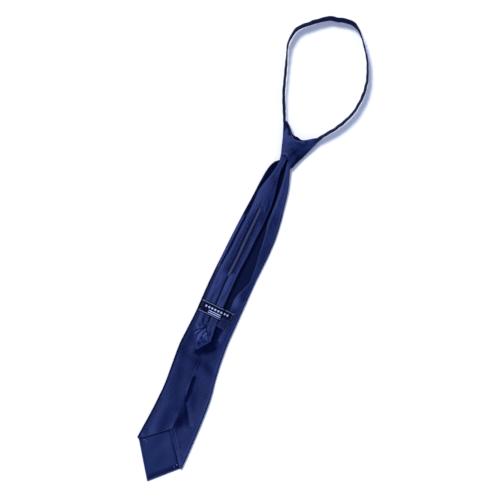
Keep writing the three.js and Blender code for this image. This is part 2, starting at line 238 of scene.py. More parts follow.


# Folded strap cloth: tighter and darker than the tie, with a faint painted highlight along its edges and painted shade
# along its seams
def bandCloth():
    paint = newPaint("band_cloth")
    across, along, side = paint.flat()
    rib = (along + across * 0.6).wave(strapWeave["rib"])
    streak = paint.noise(across, along, strapWeave["streak"], 14.0)
    base = paintedLightAndShade(paint, paint.mix(streak, strapWeave["dark"], strapWeave["light"]), side, 0.2)
    return paint.finish({"Base Color": base, "Roughness": 0.55 + rib * 0.06,
                         "Normal": paint.bump(rib + streak * 1.5, 0.4, 0.00014)}, {"Specular IOR Level": 0.04})


woven = {
    "dark": colour(0.0003, 0.0010, 0.013), "light": colour(0.0010, 0.0024, 0.022), "mark": colour(0.40, 0.46, 0.76),
    "rib": 0.42, "rule": 7.9, "ruleWide": 0.34, "ruleShare": 0.5,
    "lozenge": 5.0, "lozengeNarrow": 2.4, "lozengeHigh": 1.9, "lozengeAt": 2.2, "lozengeEnd": 19.0,
    "dashes": (-2.4, -5.2), "dashWide": 0.60, "dashAt": -1.0, "dashEnd": 10.0,
}


# Label ribbon: near-black satin with a plain woven border, a row of lozenges and two short rules
def labelRibbon():
    paint = newPaint("label_ribbon")
    along, across, side = paint.flat()
    rib = along.wave(woven["rib"])
    border = abs(abs(across) - woven["rule"]) < woven["ruleWide"]
    step = abs((along / woven["lozenge"]).fraction() - 0.5)
    lozenge = (step * woven["lozengeNarrow"] + abs(across - woven["lozengeAt"]) / woven["lozengeHigh"]) < 1.0
    marks = border * woven["ruleShare"] + lozenge * (abs(along) < woven["lozengeEnd"])
    for place in woven["dashes"]:
        marks = marks + (abs(across - place) < woven["dashWide"]) * (abs(along - woven["dashAt"]) < woven["dashEnd"])
    thread = paint.noise(along, across, 0.5, 1.0)
    marks = marks.clamped() * (0.65 + thread * 0.5) * (1 - side)
    base = paint.mix(marks, paint.mix(rib, woven["dark"], woven["light"]), woven["mark"])
    # faint painted highlights on crests, painted shade in hollows and on the ribbon's inside
    base = paintedLightAndShade(paint, base, side, 0.15)
    height = rib * 0.6 + marks * 1.6 + thread
    return paint.finish({"Base Color": base, "Roughness": 0.46 + marks * 0.2,
                         "Normal": paint.bump(height, 0.4, 0.00012)}, {"Specular IOR Level": 0.03})


# Zip tape in a plain ribbed weave
def zipTape():
    paint = newPaint("zip_tape")
    across, along, _ = paint.flat()
    rib = along.wave(0.8) * 0.6 + across.wave(0.7) * 0.4
    base = paint.mix(rib, colour(0.0003, 0.0012, 0.012), colour(0.0012, 0.0028, 0.022))
    return paint.finish({"Base Color": base, "Roughness": 0.6 + rib * 0.1, "Normal": paint.bump(rib, 0.5, 0.0002)},
                        {"Specular IOR Level": 0.10})


# Nylon of the zip's coil and of the sewing threads
def nylon(name, dull, bright, rough):
    paint = newPaint(name)
    across, along, _ = paint.flat()
    speck = paint.noise(across, along, 0.7, 2.0)
    return paint.finish({"Base Color": paint.mix(speck, dull, bright), "Roughness": rough + speck * 0.12,
                         "Normal": paint.bump(paint.noise(across, along, 0.12, 4.0), 0.25, 0.00005)},
                        {"Specular IOR Level": 0.4})


tieCloth = tieSatin("tie_satin")
tailCloth = tieSatin("tail_satin", 1.08, 0.55)
knotCloth = tieSatin("knot_satin", 1.0, 0.15)
hemCloth = tieSatin("hem_satin", 0.62, 0.1)
lining = liningCloth("navy_lining")
# a painted lighter copy of the lining, with twice the painted highlight on the crests of its puckers
tailLiningCloth = liningCloth("tail_lining_satin", 1.4, 2.0)
strapCloth = bandCloth()
ribbon = labelRibbon()
tapeCloth = zipTape()
coilNylon = nylon("coil_nylon", colour(0.021, 0.034, 0.122), colour(0.044, 0.064, 0.196), 0.42)
threadNavy = nylon("thread_navy", colour(0.014, 0.022, 0.090), colour(0.035, 0.050, 0.160), 0.45)
threadDark = nylon("thread_dark", colour(0.0010, 0.0030, 0.030), colour(0.0040, 0.0080, 0.060), 0.6)
threadPale = nylon("thread_pale", colour(0.13, 0.16, 0.30), colour(0.24, 0.28, 0.46), 0.45)
print("materials made")


# Tables: a row of names, then rows of numbers
def table(names, *rows):
    return dict(zip(names.split(), np.array(rows, float).T))


# One column of a table at any y, smooth and with no overshoot between its rows
def column(rows, key, y):
    knots, values = rows["y"], rows[key]
    cut = np.diff(values) / np.diff(knots)
    before, after = np.r_[cut[:1], cut], np.r_[cut, cut[-1:]]
    same = before * after > 0
    slope = np.where(same, 2 * before * after / np.where(same, before + after, 1), 0)
    i = np.clip(np.searchsorted(knots, y, side="right") - 1, 0, len(knots) - 2)
    span = knots[i + 1] - knots[i]
    t = np.clip((y - knots[i]) / span, 0, 1)
    start = (1 + 2 * t) * (1 - t) ** 2 * values[i] + t * (1 - t) ** 2 * span * slope[i]
    end = t * t * (3 - 2 * t) * values[i + 1] - t * t * (1 - t) * span * slope[i + 1]
    return start + end


def reading(rows, key):
    return lambda y: column(rows, key, y)


def blend(value, low, high):  # smooth step
    t = np.clip((value - low) / (high - low), 0, 1)
    return t * t * (3 - 2 * t)


def lerp(a, b, share):
    return a + (b - a) * share


def unit(v):
    return v / np.maximum(np.linalg.norm(v, axis=-1, keepdims=True), 1e-9)


# Soft random waves between about -1 and 1, the same on every run
def ripples(x, y, wide, long, seed, count=7):
    random = np.random.default_rng(seed)
    total = np.zeros(np.broadcast(x, y).shape)
    for _ in range(count):
        angle, wave, phase = random.uniform(0, math.pi), random.uniform(0.7, 1.6), random.uniform(0, 2 * math.pi)
        total += np.sin((x / wide * math.cos(angle) + y / long * math.sin(angle)) * 2 * math.pi / wave + phase)
    return total / math.sqrt(count)


# Creases and folds drawn as lines on the cloth: steep on the line's right, gentle on its left
def drawnFolds(x, y, folds):
    lift = np.zeros(np.broadcast(x, y).shape)
    for line, height, steep, gentle in folds:
        nearest = np.full(lift.shape, 1e9)
        side = np.zeros(lift.shape)
        for (ax, ay), (bx, by) in zip(line[:-1], line[1:]):
            dx, dy = bx - ax, by - ay
            t = np.clip(((x - ax) * dx + (y - ay) * dy) / (dx * dx + dy * dy), 0, 1)
            away = np.hypot(x - ax - t * dx, y - ay - t * dy)
            turn = dx * (y - ay) - dy * (x - ax)
            side = np.where(away < nearest, turn, side)
            nearest = np.minimum(away, nearest)
        reach = np.where(side > 0, gentle, steep)
        lift += height * np.exp(-((nearest / reach) ** 2))
    return lift


def gridNormals(grid, around):
    if around:
        across = np.roll(grid, -1, 1) - np.roll(grid, 1, 1)
    else:
        across = np.gradient(grid, axis=1)
    return unit(np.cross(np.gradient(grid, axis=0), across))


# How far each point stands out from its surroundings, near and far, from -1 in a hollow to 1 on a crest; the materials
# paint highlights on crests and shade in hollows from it
def crests(grid, normals, around):
    rows, cols = np.arange(grid.shape[0]), np.arange(grid.shape[1])
    total = np.zeros(grid.shape[:2])
    for reach, full in ((2, 0.20), (5, 0.75)):
        middle = np.zeros(grid.shape)
        for step in (-reach, reach):
            aside = (cols + step) % len(cols) if around else np.clip(cols + step, 0, len(cols) - 1)
            middle += grid[np.clip(rows + step, 0, len(rows) - 1)] / 4 + grid[:, aside] / 4
        total += ((grid - middle) * normals).sum(-1) / full
    return np.clip(total, -1, 1)


def quads(a, b, c, d):
    return np.stack([a, b, c, d], -1).reshape(-1, 4)


# rims of a wall take this share of the inside's painted shade, and this much painted highlight
rimInside, rimCrest = 0.35, 0.8  # what the rims of a wall count as, to its material


# A closed wall of cloth round a grid of points, with rounded rims; shade adds painted shade where negative and painted
# highlights where positive
def clothWall(grid, thick, flat, around=False, shade=0.0):
    rows, cols = grid.shape[:2]
    normals = gridNormals(grid, around)
    crest = np.clip(crests(grid, normals, around) + shade, -1, 1)
    ends = [(0, 1), (rows - 1, rows - 2)]
    sides = [] if around else [(0, 1), (cols - 1, cols - 2)]
    points = [(grid + normals * thick / 2).reshape(-1, 3), (grid - normals * thick / 2).reshape(-1, 3)]
    measures = [np.c_[flat.reshape(-1, 2), np.full(rows * cols, inside)] for inside in (0.0, 1.0)]
    crestAt = [crest.ravel(), -crest.ravel()]
    outer = np.arange(rows * cols).reshape(rows, cols)
    inner = outer + rows * cols
    count = 2 * rows * cols
    rims = {}
    for key, pairs in (("end", ends), ("side", sides)):
        for edge, within in pairs:
            line, back = (grid[edge], grid[within]) if key == "end" else (grid[:, edge], grid[:, within])
            known = flat[edge] if key == "end" else flat[:, edge]
            points.append(line + unit(line - back) * thick / 2)
            measures.append(np.c_[known, np.full(len(line), rimInside)])
            crestAt.append(np.full(len(line), rimCrest))
            rims[key, edge] = np.arange(len(line)) + count
            count += len(line)
    wrap = (lambda a: np.r_[a, a[:1]]) if around else (lambda a: a)
    o, i = (np.c_[k, k[:, :1]] if around else k for k in (outer, inner))
    faces = [quads(o[:-1, :-1], o[:-1, 1:], o[1:, 1:], o[1:, :-1]),
             quads(i[:-1, :-1], i[1:, :-1], i[1:, 1:], i[:-1, 1:])]
    for edge, _ in ends:
        m = wrap(rims["end", edge])
        faces += [quads(o[edge, :-1], o[edge, 1:], m[1:], m[:-1]), quads(m[:-1], m[1:], i[edge, 1:], i[edge, :-1])]
    for edge, _ in sides:
        m = rims["side", edge]
        faces += [quads(o[:-1, edge], o[1:, edge], m[1:], m[:-1]), quads(m[:-1], m[1:], i[1:, edge], i[:-1, edge])]
        for end, _ in ends:
            corner = rims["end", end][0 if edge == 0 else -1]
            faces.append(np.array([[outer[end, edge], corner, inner[end, edge], m[0 if end == 0 else -1]]]))
    return np.vstack(points), np.vstack(faces).tolist(), np.vstack(measures), np.concatenate(crestAt)


# A closed tube through rings of points, with flat ends
def ringTube(rings, flat, crest):
    rows, cols = rings.shape[:2]
    o = np.arange(rows * cols).reshape(rows, cols)
    ring = np.c_[o, o[:, :1]]
    faces = quads(ring[:-1, :-1], ring[:-1, 1:], ring[1:, 1:], ring[1:, :-1]).tolist()
    faces += [o[0].tolist(), o[-1][::-1].tolist()]
    measures = np.c_[flat.reshape(-1, 2), np.zeros(rows * cols)]
    return rings.reshape(-1, 3), faces, measures, crest.ravel()


# Thread beads, one for each stitch, joined in one mesh
def threadBeads(centres, directions, normals, length, thick, sides=6):
    stations = np.linspace(-1, 1, 5)
    girth = np.array([0.25, 0.85, 1.0, 0.85, 0.25]) * thick / 2
    arch = np.array([-0.55, 0.1, 0.3, 0.1, -0.55]) * thick
    directions, normals = unit(directions), unit(normals)
    aside = unit(np.cross(normals, directions))
    turn = np.arange(sides) * 2 * math.pi / sides
    spine = (centres[:, None] + directions[:, None] * stations[:, None] * (length / 2)
             + normals[:, None] * arch[:, None])
    round_ = (aside[:, None, None] * np.cos(turn)[:, None] + normals[:, None, None] * np.sin(turn)[:, None])
    points = (spine[:, :, None] + round_ * girth[:, None, None]).reshape(-1, 3)
    one = np.arange(5 * sides).reshape(5, sides)
    ring = np.c_[one, one[:, :1]]
    walls = quads(ring[:-1, :-1], ring[:-1, 1:], ring[1:, 1:], ring[1:, :-1])
    faces = []
    for k in range(len(centres)):
        base = k * 5 * sides
        faces += (walls + base).tolist()
        faces += [(one[0] + base).tolist(), (one[-1][::-1] + base).tolist()]
    measures = np.c_[points[:, :2], np.zeros(len(points))]
    return points, faces, measures, np.zeros(len(points))


threadThick = 0.34


# Rows of stitches in one mesh, each row with its centres, directions and normals
def sewn(rows, stitch, thick=threadThick):
    centres, directions, normals = (np.vstack(part) for part in zip(*rows))
    return threadBeads(centres, directions, normals, stitch, thick)


def seamLine(x, y, z):
    points = np.stack(np.broadcast_arrays(x, y, z), -1)
    return points, unit(np.gradient(points, axis=0)), np.tile([0, 0, 1.0], (len(points), 1))


# One piece of the object from its points in tie millimetres, on the frame's only body
def addPiece(name, shape, material, slot, *nodes):
    points, faces, measures, crestAt = shape
    mesh = bpy.data.meshes.new(name)
    mesh.from_pydata((points * mm + tieZero).tolist(), [], faces)
    cloth = mesh.attributes.new("cloth", "FLOAT_VECTOR", "POINT")
    cloth.data.foreach_set("vector", measures.astype(np.float32).ravel())
    crest = mesh.attributes.new("crest", "FLOAT", "POINT")
    crest.data.foreach_set("value", crestAt.astype(np.float32))
    work = bmesh.new()
    work.from_mesh(mesh)
    bmesh.ops.recalc_face_normals(work, faces=work.faces)
    work.to_mesh(mesh)
    work.free()
    mesh.polygons.foreach_set("use_smooth", np.ones(len(mesh.polygons), bool))
    mesh.materials.append(material)
    piece = bpy.data.objects.new(name, mesh)
    bpy.context.scene.collection.objects.link(piece)
    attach(piece, "root")
    if nodes:
        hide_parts(*nodes)
    print(name, len(mesh.polygons), "faces")
    return piece


# Rows of a hem turned in at an edge, from its free end to the edge: how far from the edge, and how far inside
def turnedHem(roll, length, shares):
    rows = [(roll + share * length, 2 * roll) for share in shares]
    bend = np.linspace(math.pi, 0, 7)[1:-1]
    return rows + [(roll - roll * math.sin(angle), roll * (1 - math.cos(angle))) for angle in bend]


def unzip(rowPlan):
    y, inward = (np.array(part, float) for part in zip(*rowPlan))
    return y, inward[:, None]


folding = {"hemParts": 5, "rollParts": 7, "pointRows": 4, "hemRise": 1.2, "hemClear": 1, "lowFront": 0.55,
           "lowBack": 1.3}


# Cloth folded to the back on both sides, with a pointed end and a turned-under hem all round.
# Columns run from the hem under the left flap round the front to the hem under the right flap.
def foldedCloth(at, end, cut):
    wall, roll, hem = cut["wall"], cut["roll"], cut["hem"]
    flapParts, foldParts, frontParts = cut["parts"]
    tipShare = (end["tip"][0] - end["left"][0]) / (end["right"][0] - end["left"][0])
    hems, rolls = np.linspace(1, 0, folding["hemParts"]), np.linspace(0, 1, folding["rollParts"])[1:-1]
    flaps, folds = np.linspace(0, 1, flapParts), np.linspace(0, 1, foldParts)[1:-1]
    fronts = np.unique(np.r_[np.linspace(0, tipShare, frontParts), np.linspace(tipShare, 1, frontParts)])
    plan = [("hemL", hems), ("rollL", rolls[::-1]), ("flapL", flaps), ("foldL", folds), ("front", fronts),
            ("foldR", folds[::-1]), ("flapR", flaps[::-1]), ("rollR", rolls), ("hemR", hems[::-1])]
    kind = np.concatenate([[name] * len(shares) for name, shares in plan])
    share = np.concatenate([shares for _, shares in plan])
    isLeft, isRight = np.char.endswith(kind, "L"), np.char.endswith(kind, "R")
    isHem, isRoll, isFlap, isFold = (np.char.startswith(kind, part) for part in ("hem", "roll", "flap", "fold"))
    isFront = kind == "front"

    # Where each column starts: along the pointed end's outline
    corner = np.where(isLeft, end["left"][1], end["right"][1])
    top = end["top"][1]
    start = np.where(isFlap, lerp(top, corner, share), np.where(isFold, corner, top))
    flapWide = np.where(isLeft, at["leftFlap"](top) - at["left"](top), at["right"](top) - at["rightFlap"](top))
    start = np.where(isHem, lerp(top, corner, share * hem / flapWide) + folding["hemRise"], start)
    toTip = np.where(share < tipShare, lerp(end["left"][1], end["tip"][1], share / tipShare),
                     lerp(end["tip"][1], end["right"][1], (share - tipShare) / (1 - tipShare)))
    start = np.where(isFront, toTip, start)
    pointHem = turnedHem(roll, cut["pointHem"], np.linspace(1, 0, folding["pointRows"]))
    rowPlan = [(start + rise, inward) for rise, inward in pointHem]
    rowPlan += [(lerp(start + roll, end["straight"], t), 0) for t in np.linspace(0, 1, cut["endRows"])[:-1]]
    levels = np.linspace(end["straight"], cut["top"], cut["bodyRows"])
    rowPlan += [(np.full(len(kind), level), 0) for level in levels]
    y, inset = unzip(rowPlan)

    left, right = at["left"](np.maximum(y, end["left"][1])), at["right"](np.maximum(y, end["right"][1]))
    leftFlap, rightFlap = at["leftFlap"](y), at["rightFlap"](y)
    radius = (at["deep"](y) - wall) / 2
    middle = at["lift"](y) + at["deep"](y) / 2
    foldL, foldR = left + wall / 2 + radius, right - wall / 2 - radius
    turn = math.pi * share  # round a fold from the flap to the front, or round a free edge from the flap to its hem
    hemL, hemR = (np.minimum(hem, wide - folding["hemClear"]) for wide in (leftFlap - foldL, foldR - rightFlap))
    x = np.select(
        [kind == name for name, _ in plan],
        [leftFlap - roll - share * hemL, leftFlap - roll + roll * np.sin(turn), lerp(leftFlap - roll, foldL, share),
         foldL - radius * np.sin(turn), lerp(foldL, foldR, share), foldR + radius * np.sin(turn),
         lerp(rightFlap + roll, foldR, share), rightFlap + roll - roll * np.sin(turn),
         rightFlap + roll + share * hemR])
    z = np.select([isHem, isRoll, isFlap, isFold, isFront],
                  [middle + radius - 2 * roll, middle + radius - roll + roll * np.cos(turn), middle + radius,
                   middle + radius * np.cos(turn), middle - radius])
    inwardX = np.where(isFold, np.where(isLeft, 1, -1) * np.sin(turn), 0)
    inwardZ = np.where(isFold, -np.cos(turn), np.where(isFront, 1, -1))
    # Relief: whole on the flaps, fading round the folds, and a slight swell on the front
    back = np.where(isFold, (1 + np.cos(turn)) / 2, np.where(isFront, 0, 1))
    z = z + back * np.where(isLeft, at["reliefL"](x, y), np.where(isRight, at["reliefR"](x, y), 0))
    z = z + np.where(isFront, at["reliefFront"](x, y), 0)
    x, z = x + inset * inwardX, z + inset * inwardZ
    z = np.maximum(z, at["lift"](y) + wall * np.where(isFold | isFront, folding["lowFront"], folding["lowBack"]))
    grid = np.stack([x, y, z], -1)
    steps = np.linalg.norm(np.diff(grid[..., [0, 2]], axis=1), axis=-1)
    u = np.c_[np.zeros(len(y)), np.cumsum(steps, 1)]
    u -= u[:, [int(np.argmax(isFront)) + len(fronts) // 2]]
    # painted shade round the folds, darkest at their outer edge, plus the piece's own painted shade and highlights
    shade = np.where(isFold, -np.where(isLeft, *cut["foldShade"]) * np.sin(turn), 0) + back * at["shade"](x, y)
    return clothWall(grid, wall, np.stack([u, y], -1), shade=shade)


# Main blade
blade = {
    "rows": table(
        "y left right leftFlap rightFlap lift deep",
        (35, -40.8, 40.8, 5.6, 0.4, 0, 5.5), (55, -38.8, 41.9, 5.6, 0.4, 0, 5.5),
        (88, -34.7, 43, 5.4, 0.4, 0, 5.5), (110, -32.2, 43.5, 6.6, 1.2, 0, 5.5),
        (128, -30.8, 43.6, 7.8, 1.6, 0, 5.5), (138, -30, 43.4, 7.6, 1.6, 0, 5.5),
        (150, -29.7, 42.8, 6.4, 1.4, 0, 5.5), (178, -30.4, 39.4, 6, 0.6, 0, 5.5),
        (206, -31, 37.4, 7.6, 3, 0, 5.5), (232, -28.8, 36.8, 10, 9, 0, 5.5),
        (262, -25.9, 38, 4, 19, 0, 5.5), (284, -25, 39, 0, 22, 0, 5.5),
        (297, -24.5, 39.7, -1.6, 21.2, 0, 5.5), (308, -24, 40.2, -2.5, 23.6, 0, 5.5),
        (320, -23.2, 40.8, -3.3, 29, 0, 5.5), (337, -22, 41.6, -4, 34, 0, 5.5),
        (356, -20.2, 43.3, -2.7, 33.6, 0, 5.5), (380, -18.2, 45.2, -0.6, 31.4, 0, 5.5),
        (403, -16, 46, 1.4, 29.8, 0, 5.6), (430, -13, 44.4, 3, 26.3, 0, 6),
        (455, -9.8, 41.2, 4, 26.4, 0.1, 6.8), (482, -7, 37, 6, 25.4, 1, 7.4),
        (503, -3.4, 31, 9, 23.2, 3, 7.4), (514, 1.4, 27.8, 12, 21.4, 4.4, 7),
        (524, 11.2, 26.2, 15.4, 20.6, 5.3, 6.2), (540, 12, 26, 16, 20.6, 5.6, 5.6)),
    "end": {"tip": (-0.6, -0.6), "left": (-38.8, 55), "right": (40.8, 35), "top": (5.6, 87), "straight": 110},
    "cut": {"wall": 0.8, "roll": 0.6, "hem": 9, "pointHem": 7, "top": 540, "parts": (36, 11, 22),
            "endRows": 56, "bodyRows": 280, "foldShade": (3.6, 1.8)},
    "tuck": 1.9, "tuckFull": 225, "tuckNone": 262,
    "leftFolds": [
        ([(-32, 62), (-12, 78), (4, 86)], 0.35, 3.0, 5.0),
        ([(-24, 205), (-8, 150), (2, 118)], -0.40, 7.0, 9.0),
        ([(-29, 165), (-20, 120), (-24, 76)], 0.40, 6.0, 8.0),
        ([(-30, 204), (-17, 198), (1, 193)], -0.18, 9.0, 9.0)],
    "rightFolds": [
        ([(36, 300), (30, 268), (24, 236)], 0.55, 3.0, 6.0),
        ([(1, 193), (16, 192), (37, 181)], -0.25, 9.0, 9.0),
        ([(9, 139), (19, 121), (30, 102)], 0.30, 3.0, 6.0),
        ([(40, 140), (34, 100), (32, 60)], 0.25, 6.0, 8.0)],
    # painted shade where the height is negative, painted highlights where it is positive
    "shade": [
        ([(9.3, 134), (9, 146), (8, 160), (7.8, 169)], -2.4, 2.8, 2.2),  # gap between the flaps
        ([(-13, 197), (1, 193), (16, 192), (31, 183)], -0.26, 8.0, 8.0), ([(20, 206), (23, 199)], 0.25, 4.0, 4.0),
        ([(-3, 208), (9, 213), (19, 222)], -1.7, 4.2, 3.0),  # below the tail's point
        ([(1, 213), (8, 218), (14, 226)], -1.5, 3.2, 3.2), ([(5, 209), (6, 195), (6, 184)], -0.6, 2.5, 2.5),
        ([(13, 222), (15.5, 238), (16, 252)], -1.4, 4.6, 4.6),
        ([(-16.2, 345), (-13.2, 367), (-11.6, 388), (-9.7, 407), (-8.2, 422)], -1.8, 1.6, 1.6),  # along the tail
        ([(27.8, 455), (26.4, 482), (24.4, 497), (23, 512)], 1.0, 1.6, 1.6),  # right flap's edge below the knot
        ([(8.4, 87), (23.4, 64), (39.4, 37)], 0.7, 0.9, 0.9)],  # beside the diamond
    "strip": {"y": [424, 430, 442, 455, 466, 480, 490, 502], "wide": [4, 5, 6, 4.5, 3.6, 5.8, 8, 10.5]},
}


def bladeTop(y):
    return column(blade["rows"], "lift", y) + column(blade["rows"], "deep", y)


# Height of the left flap over a flat one
def leftFlapRelief(x, y):
    corner = blade["end"]["left"][1]
    edge, fold = column(blade["rows"], "leftFlap", y), column(blade["rows"], "left", np.maximum(y, corner))
    share = np.clip((edge - x) / (edge - fold), 0, 1)
    open_ = 1 - blend(y, 236, 268)  # below the tail, where the two flaps meet
    swell = 0.55 * np.sin(math.pi * share) * open_
    lip = lerp(-0.5, 1.7, np.exp(-((y - 150) / 22) ** 2)) * blend(y, 84, 100)  # its edge stands up over the seam
    seam = lip * np.exp(-np.maximum(edge - x, 0) / 7.5) * open_
    slope = -3.4 * blend(1 - share, 0.0, 0.55) * blend(y, 430, 475)  # near the knot it sinks towards the tail
    soft = 0.42 * ripples(x, y, 30, 90, 3, 9) * np.sin(math.pi * np.clip(share, 0.04, 0.96)) * open_
    return swell + seam + slope + soft + drawnFolds(x, y, blade["leftFolds"]) * open_


# Height of the right flap over a flat one: it dips under the left flap and opens up beside the tail
def rightFlapRelief(x, y):
    corner = blade["end"]["right"][1]
    edge, fold = column(blade["rows"], "rightFlap", y), column(blade["rows"], "right", np.maximum(y, corner))
    share = np.clip((x - edge) / (fold - edge), 0, 1)
    tucked = 1 - blend(y, blade["tuckFull"], blade["tuckNone"])
    drop = -blade["tuck"] * blend(1 - share, 0.10, 0.80) * tucked
    lip = lerp(0.1, 0.8, blend(y, 400, 430)) * np.exp(-(((x - edge - 2.2) / 2.6) ** 2)) * blend(y, 268, 300)
    lip = lip - 0.9 * share ** 2 * blend(y, 250, 300)
    valley = -2.2 * np.exp(-(((x - edge) / 7) ** 2)) * np.exp(-(((y - 243) / 15) ** 2))
    bulge = 2.4 * np.exp(-((x - 27) / 6.5) ** 2 - ((y - 296) / 13) ** 2)
    soft = 0.34 * ripples(x, y, 26, 80, 5, 9) * np.sin(math.pi * np.clip(share, 0.04, 0.96))
    return drop + lip + valley + bulge + soft + drawnFolds(x, y, blade["rightFolds"])


def bladeFront(x, y):
    return 0.16 * (1 + np.clip(ripples(x, y, 40, 120, 8), -1, 1)) * blend(y, 20, 80)


# Painted shade where the flaps lie deep between thicker layers, painted highlights along raised edges
def bladeShade(x, y):
    fold = column(blade["rows"], "left", y)
    wide = np.interp(y, blade["strip"]["y"], blade["strip"]["wide"])  # of the dark strip beside the tail's top
    upper = blend(y, 416, 430)
    # painted shade strip beside the tail's top
    strip = -2.6 * upper * np.exp(-((x - fold) / wide) ** 4)
    # painted highlight along the left rim
    rim = 3.2 * np.exp(-(((x - fold - 1.5) / 1.5) ** 2)) * (blend(y, 335, 355) - upper)
    # painted shade in a wedge below a broad fold
    wedge = -0.55 * blend(137 - (x - 9) * 1.75 - y, -8, 10) * blend(y - 86 - (x - 5) * 0.5, -5, 9) * (x > 5)
    # painted highlight on the right flap near the knot, painted shade on it lower down
    pale = 0.45 * blend(y, 430, 450) * (x > 22) - 0.15 * (x > 24) * blend(y, 305, 320) * (1 - blend(y, 385, 405))
    # painted dark line along the left outline
    outline = -1.5 * np.exp(-(((x - fold - 2.3) / 1.5) ** 2)) * (1 - blend(y, 320, 345))
    # painted shade round the tail's point
    point = -0.22 * np.exp(-((y - 215) / 35) ** 2)  # round the tail's point
    return strip + rim + wedge + pale + outline + point + drawnFolds(x, y, blade["shade"])


bladeShape = {
    **{key: reading(blade["rows"], key) for key in ("left", "right", "leftFlap", "rightFlap", "lift", "deep")},
    "reliefL": leftFlapRelief, "reliefR": rightFlapRelief, "reliefFront": bladeFront, "shade": bladeShade,
}
bladePiece = addPiece("blade_cloth", foldedCloth(bladeShape, blade["end"], blade["cut"]), tieCloth, "tie_cloth",
                      "main_blade")


# Lining in the diamond of a pointed end: a panel with softly rounded edges that follows the cloth's outline
def liningPanel(at, end, inset, relief):
    size, thick = inset["size"], inset["thick"]
    corners = [(side, end[side][1]) for side in ("left", "right")]
    (leftX, leftY), (rightX, rightY) = [(at[side](y), y + inset["corner"]) for side, y in corners]
    leftX, rightX, tipX = leftX + inset["side"], rightX - inset["side"], end["tip"][0]
    lowest, highest = end["tip"][1] + inset["point"], end["top"][1] + inset["above"]
    across = np.linspace(leftX, rightX, int((rightX - leftX) / size))
    across[np.argmin(abs(across - tipX))] = tipX
    bottom = np.where(across < tipX, lerp(leftY, lowest, (across - leftX) / (tipX - leftX)),
                      lerp(lowest, rightY, (across - tipX) / (rightX - tipX)))
    share = np.linspace(0, 1, int((highest - lowest) / size))[:, None]
    y = lerp(bottom, highest, share)
    left, right = (at[side](np.maximum(y, corner)) for side, corner in corners)
    x = lerp(left + inset["side"], right - inset["side"], (across - leftX) / (rightX - leftX))
    z = inset["base"] + thick / 2 + relief(x, y)
    grid = np.stack([x, y, z], -1)[:, ::-1]
    top, rim = end["top"], inset["rim"]
    # painted shade under the flaps' edges and along the hem, with the lining's folds painted as highlights and shade
    shade = drawnFolds(grid[..., 0], grid[..., 1], [
        ([end["left"], top], -2.0, rim, rim), ([top, end["right"]], -2.6, 1.5 * rim, 1.5 * rim),
        ([(leftX, leftY), (tipX, lowest)], -0.5, 0.6 * rim, 0.6 * rim), *inset["folds"]])
    shade += inset["hemShade"] * drawnFolds(grid[..., 0], grid[..., 1], [
        ([(tipX, lowest), (rightX, rightY)], -1.0, rim, rim),
        ([(tipX, lowest + 2.2 * rim), (rightX - 2.6 * rim, rightY)], -0.7, 0.5 * rim, 0.5 * rim)])
    return clothWall(grid, thick, grid[..., :2], shade=shade)


bladeLining = {
    "side": 3.4, "corner": 2.2, "point": 4.4, "above": 12, "rim": 2.6, "hemShade": 1.0, "folds": [],
    "base": 1.5, "thick": 0.6, "size": 1.3,
}


def bladeLiningRelief(x, y):
    lift = 0.5 + 0.14 * ripples(x, y, 30, 40, 12) + 0.25 * np.sin(np.clip((y - 5) / 80, 0, 1) * math.pi)
    return np.clip(lift, 0, 1.4)


liningPiece = addPiece("blade_lining", liningPanel(bladeShape, blade["end"], bladeLining, bladeLiningRelief), lining,
                       "tipping_cloth", "blade_tipping")


# Tail
tail = {
    "rows": table(
        "y left right slit",
        (228, -20.6, 11.9, -2.6), (236, -20.3, 11.5, -2.6), (262, -19, 10.2, -2.3), (300, -18, 11.1, -1.6),
        (320, -17.2, 12, -1), (345, -15.2, 13.6, 1.5), (367, -12, 16.4, 3.4), (388, -10, 18, 4.4),
        (407, -8.5, 19.6, 5.8), (420, -7, 21, 6.7), (433, -5.6, 21.8, 7.5), (447, -5, 22.4, 5.4),
        (464, -4.4, 21.4, 6.4), (478, -1.2, 19.4, 7.2), (490, 2.8, 17.4, 8.4), (504, 6.4, 16, 10.6),
        (521, 9.4, 17.6, 13), (538, 12, 19.6, 15.4)),
    "end": {"tip": (-3.5, 211), "left": (-20.3, 236), "right": (11.9, 228), "top": (-2.5, 247), "straight": 258},
    "cut": {"wall": 0.7, "roll": 0.5, "hem": 5, "pointHem": 6, "top": 538, "parts": (16, 9, 12),
            "endRows": 40, "bodyRows": 230, "foldShade": (0.7, 0.7)},
    "thick": 3.4, "gap": 0.3, "slitClosed": 0.95, "slitOpen": 4.5, "slitTop": 0.3,
    "creases": [
        ([(-18, 236), (-11, 243), (-4, 247)], 0.8, 1.2, 2.0),
        ([(9, 231), (4, 239), (-1, 247)], 0.8, 1.2, 2.0),
        ([(-14, 262), (-8, 250), (-5, 246)], -0.7, 1.5, 2.5),
        ([(7, 262), (3, 254), (1, 244)], 0.6, 1.2, 2.0)],
}
zipper = {"bottom": 331, "top": 446, "tapeHalf": 5.4, "tapeWall": 0.7, "bed": 1.3, "rise": 1.9, "turnsAt": 430,
          "slope": 0.065}


def slitHalf(y):
    opening = blend(y, zipper["bottom"] - 2, zipper["bottom"] + 8)
    closing = 1 - blend(y, zipper["top"] - 13, zipper["top"] + 1)
    closed = lerp(tail["slitClosed"], tail["slitTop"], blend(y, 440, 462))
    return lerp(closed, tail["slitOpen"], opening * closing)


slitAt = reading(tail["rows"], "slit")


def chainAt(y):  # the chain runs on under the right band where the slit closes
    return slitAt(np.minimum(y, zipper["turnsAt"])) + zipper["slope"] * np.maximum(y - zipper["turnsAt"], 0)


def tailLift(y):
    return bladeTop(y) + tail["gap"]


